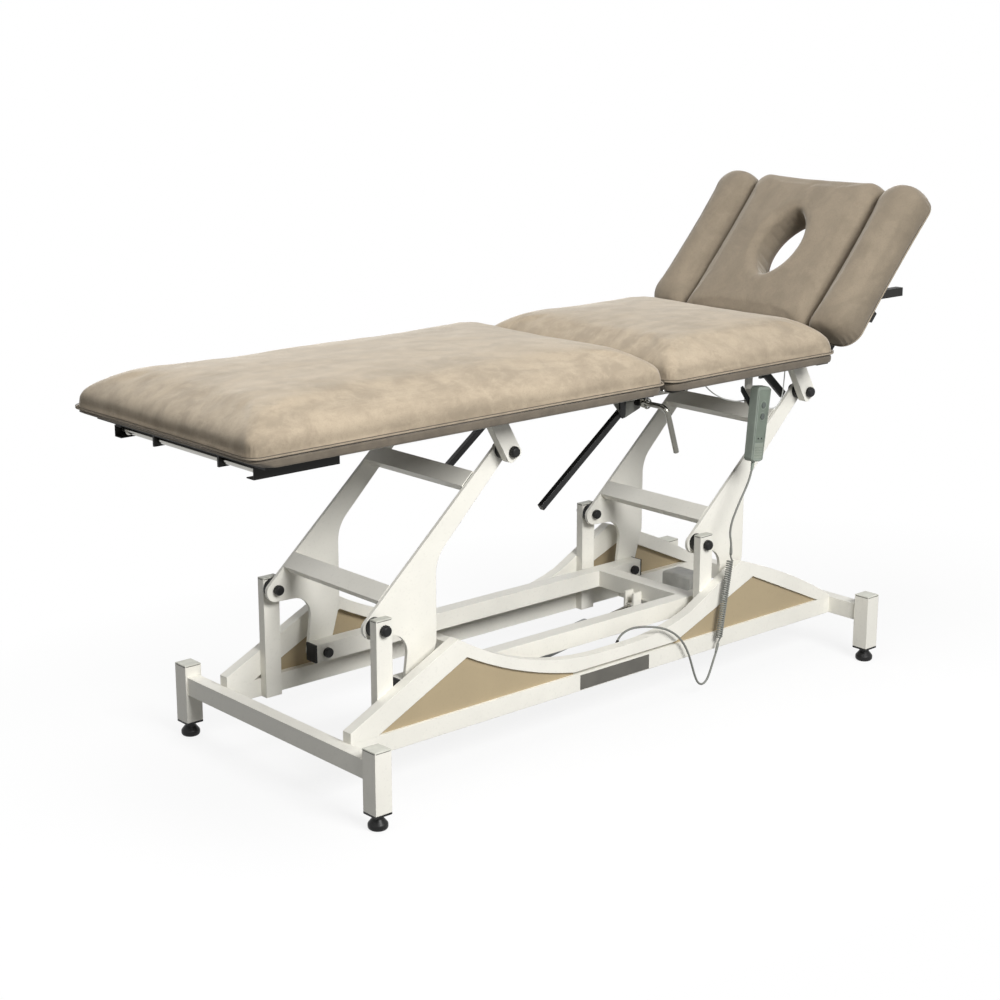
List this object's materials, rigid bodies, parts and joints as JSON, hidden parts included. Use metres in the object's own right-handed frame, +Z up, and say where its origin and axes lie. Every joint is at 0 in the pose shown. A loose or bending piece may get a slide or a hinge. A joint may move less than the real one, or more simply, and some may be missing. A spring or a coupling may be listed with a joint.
{
  "type": "height-adjustable treatment couch",
  "caption": "Electric height-adjustable treatment couch: open steel lifting base, padded leg and seat sections, and a tilting head section with face hole and arm rests.",
  "frame": {"origin": "middle of the bounding box on the floor, under the levelling feet", "axes": "+X from the foot end to the head end, +Y away from the handset side, +Z up"},
  "size_m": [1.968, 0.705, 1.1289],
  "materials": {
    "frame_white": "ivory white powder coat, soft gloss",
    "cap_white": "ivory moulded cap",
    "box_white": "off-white moulded housing",
    "black_steel": "black painted steel",
    "black_plastic": "black moulded plastic",
    "upholstery": "taupe brushed suede-like upholstery",
    "board": "plywood board, brown edge",
    "panel_tan": "tan painted sheet",
    "name_plate": "bare dark plate",
    "bright_steel": "bright plated steel",
    "actuator_grey": "grey moulded housing",
    "handset_grey": "grey-green moulded shell",
    "button_grey": "dark grey rubber keys",
    "cord": "grey flexible cable sheath"
  },
  "bodies": {
    "base": {"side_rails": "frame_white", "end_tubes": "frame_white", "corner_legs": "frame_white", "leg_plugs": "black_plastic", "tube_caps": "cap_white", "lift_posts": "frame_white", "pivot_bolts": "black_plastic", "brace_bands": "frame_white", "infill_panels": "panel_tan", "name_plate": "name_plate", "base_cross_members": "frame_white", "control_box": "box_white", "cord_gland": "black_plastic", "cord_lower": "cord", "cord_coil": "cord"},
    "levelling_foot_1": {"levelling_foot_1": "black_plastic"},
    "levelling_foot_2": {"levelling_foot_2": "black_plastic"},
    "levelling_foot_3": {"levelling_foot_3": "black_plastic"},
    "levelling_foot_4": {"levelling_foot_4": "black_plastic"},
    "head_arm": {"head_arm_plates": "frame_white", "head_arm_tubes": "frame_white"},
    "foot_arm": {"foot_arm_plates": "frame_white", "foot_arm_tubes": "frame_white"},
    "push_frame": {"push_frame_tubes": "frame_white", "push_bar_plugs": "black_plastic", "tail_pins": "black_plastic", "clevis": "frame_white"},
    "actuator_housing": {"actuator_housing": "actuator_grey"},
    "actuator_rod": {"actuator_rod": "bright_steel"},
    "upper_frame": {"upper_frame_tubes": "frame_white", "slide_channels": "black_steel", "top_brackets": "frame_white", "top_pivot_bolts": "black_plastic", "hinge_shaft": "bright_steel", "lever_hangers": "frame_white", "handset_hook": "frame_white"},
    "mid_section": {"mid_cushion": "upholstery", "mid_board": "board", "mid_frame": "black_steel"},
    "leg_section": {"leg_cushion": "upholstery", "leg_board": "board", "leg_frame": "black_steel", "slide_axle": "bright_steel"},
    "head_section": {"head_cushion": "upholstery", "head_board": "board", "head_frame": "black_steel"},
    "right_rest": {"right_rest_cushion": "upholstery", "right_rest_board": "board", "right_rest_frame": "black_steel"},
    "left_rest": {"left_rest_cushion": "upholstery", "left_rest_board": "board", "left_rest_frame": "black_steel"},
    "lever_bars": {"lever_bars": "black_steel"},
    "clamp_handle": {"clamp_handle": "bright_steel"},
    "head_lever": {"head_lever": "black_plastic"},
    "handset": {"handset_case": "handset_grey", "cord_upper": "cord"},
    "raise_button": {"raise_button": "button_grey"},
    "lower_button": {"lower_button": "button_grey"}
  },
  "joints": [
    {"name": "lift", "type": "hinge", "parent": "base", "child": "head_arm", "pos_m": [0.33563, 0, 0.346], "axis": [0, -1, 0], "range_deg": [-40, 0], "deforming": ["cord_upper", "cord_coil", "cord_lower"]},
    {"name": "foot_arm_pivot", "type": "hinge", "parent": "base", "child": "foot_arm", "pos_m": [-0.60337, 0, 0.346], "axis": [0, -1, 0], "range_deg": [-40, 0]},
    {"name": "upper_frame_pivot", "type": "hinge", "parent": "head_arm", "child": "upper_frame", "pos_m": [0.67814, 0, 0.65799], "axis": [0, -1, 0], "range_deg": [0, 40]},
    {"name": "push_frame_pivot", "type": "hinge", "parent": "head_arm", "child": "push_frame", "pos_m": [0.43563, 0, 0.193], "axis": [0, -1, 0], "range_deg": [0, 40]},
    {"name": "actuator_swing", "type": "hinge", "parent": "base", "child": "actuator_housing", "pos_m": [-0.12637, 0, 0.094], "axis": [0, -1, 0], "range_deg": [-3.2, 0]},
    {"name": "actuator_rod_pivot", "type": "hinge", "parent": "push_frame", "child": "actuator_rod", "pos_m": [0.30563, 0, 0.154], "axis": [0, -1, 0], "range_deg": [-3.2, 0]},
    {"name": "section_crease", "type": "hinge", "parent": "upper_frame", "child": "mid_section", "pos_m": [0.67963, 0, 0.754], "axis": [0, 1, 0], "range_deg": [0, 15]},
    {"name": "leg_section_hinge", "type": "hinge", "parent": "mid_section", "child": "leg_section", "pos_m": [0.08763, 0, 0.736], "axis": [0, 1, 0], "range_deg": [-23.89, 0]},
    {"name": "head_section_hinge", "type": "hinge", "parent": "mid_section", "child": "head_section", "pos_m": [0.67963, 0, 0.754], "axis": [0, 1, 0], "range_deg": [-6, 58]},
    {"name": "right_rest_hinge", "type": "hinge", "parent": "head_section", "child": "right_rest", "pos_m": [0.67963, 0, 0.754], "axis": [0, 1, 0], "range_deg": [0, 45]},
    {"name": "left_rest_hinge", "type": "hinge", "parent": "head_section", "child": "left_rest", "pos_m": [0.67963, 0, 0.754], "axis": [0, 1, 0], "range_deg": [0, 45]},
    {"name": "lever_bar_hinge", "type": "hinge", "parent": "upper_frame", "child": "lever_bars", "pos_m": [0.10963, 0, 0.709], "axis": [0, -1, 0], "range_deg": [-25, 50]},
    {"name": "clamp_handle_turn", "type": "hinge", "parent": "lever_bars", "child": "clamp_handle", "pos_m": [0.10963, 0, 0.709], "axis": [0, -1, 0], "range_deg": [-65, 60]},
    {"name": "head_lever_hinge", "type": "hinge", "parent": "upper_frame", "child": "head_lever", "pos_m": [0.58363, -0.15, 0.706], "axis": [0, -1, 0], "range_deg": [0, 20], "stiffness_Nm_per_rad": 2, "springref_deg": -8.59},
    {"name": "handset_lift_off", "type": "slide", "parent": "upper_frame", "child": "handset", "axis": [0, 0, 1], "range_m": [0, 0.03], "deforming": ["cord_upper"]},
    {"name": "raise_button_press", "type": "slide", "parent": "handset", "child": "raise_button", "axis": [0, 1, 0], "range_m": [0, 0.002], "stiffness_N_per_m": 600, "springref_m": -0.001},
    {"name": "lower_button_press", "type": "slide", "parent": "handset", "child": "lower_button", "axis": [0, 1, 0], "range_m": [0, 0.002], "stiffness_N_per_m": 600, "springref_m": -0.001},
    {"name": "levelling_foot_1_screw", "type": "slide", "parent": "base", "child": "levelling_foot_1", "axis": [0, 0, -1], "range_m": [0, 0.015]},
    {"name": "levelling_foot_2_screw", "type": "slide", "parent": "base", "child": "levelling_foot_2", "axis": [0, 0, -1], "range_m": [0, 0.015]},
    {"name": "levelling_foot_3_screw", "type": "slide", "parent": "base", "child": "levelling_foot_3", "axis": [0, 0, -1], "range_m": [0, 0.015]},
    {"name": "levelling_foot_4_screw", "type": "slide", "parent": "base", "child": "levelling_foot_4", "axis": [0, 0, -1], "range_m": [0, 0.015]}
  ],
  "couplings": [
    {"joint": "foot_arm_pivot", "follows": "lift", "ratio": 1},
    {"joint": "upper_frame_pivot", "follows": "lift", "ratio": -1},
    {"joint": "push_frame_pivot", "follows": "lift", "ratio": -1},
    {"joint": "actuator_swing", "follows": "lift", "ratio": 0.08},
    {"joint": "actuator_rod_pivot", "follows": "lift", "ratio": 0.08},
    {"joint": "leg_section_hinge", "follows": "section_crease", "ratio": -1.593}
  ]
}
